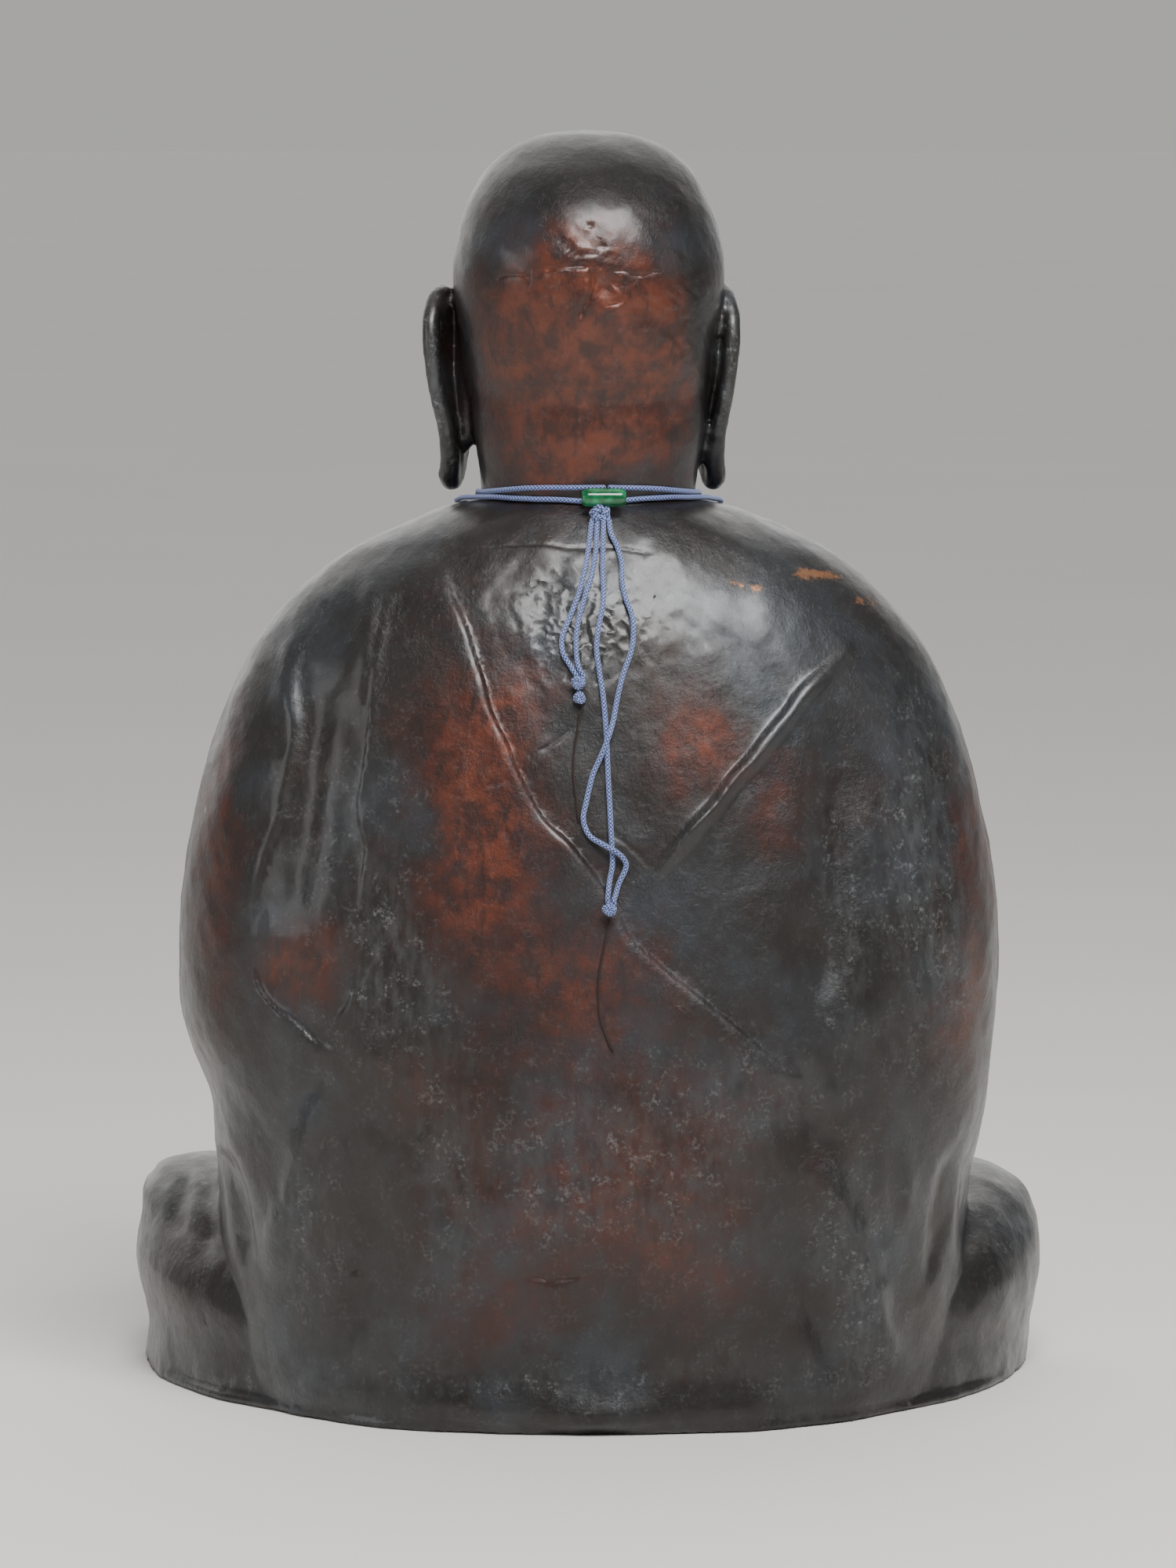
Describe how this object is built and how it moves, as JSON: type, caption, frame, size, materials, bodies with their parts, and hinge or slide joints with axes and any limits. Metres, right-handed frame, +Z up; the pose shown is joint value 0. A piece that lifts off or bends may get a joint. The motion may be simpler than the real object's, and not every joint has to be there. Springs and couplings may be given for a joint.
{
  "type": "seated bronze monk figure",
  "caption": "Seated monk cast in bronze, shaven head and long ears, robe over the left shoulder, with a knotted blue cord and a jade bead round the neck.",
  "frame": {"origin": "bottom centre of the casting, on its flat underside", "axes": "+Z up to the crown, the figure faces -Y, +X to its left side"},
  "size_m": [0.2958, 0.1952, 0.4],
  "materials": {
    "bronze": "cast bronze, satin dark patina with red-brown patches",
    "silk_cord": "braided",
    "jade": "polished jade",
    "dark_thread": "twisted"
  },
  "bodies": {
    "root": {"monk_figure": "bronze", "cord_neck_upper": "silk_cord", "cord_neck_lower": "silk_cord", "jade_bead": "jade", "cord_knot": "silk_cord", "cord_tail_left_outer": "silk_cord", "cord_tail_left_inner": "silk_cord", "cord_tail_right_inner": "silk_cord", "cord_tail_right_outer": "silk_cord", "left_end_knot": "silk_cord", "right_end_knot": "silk_cord", "left_thread": "dark_thread", "right_thread": "dark_thread"}
  },
  "joints": []
}
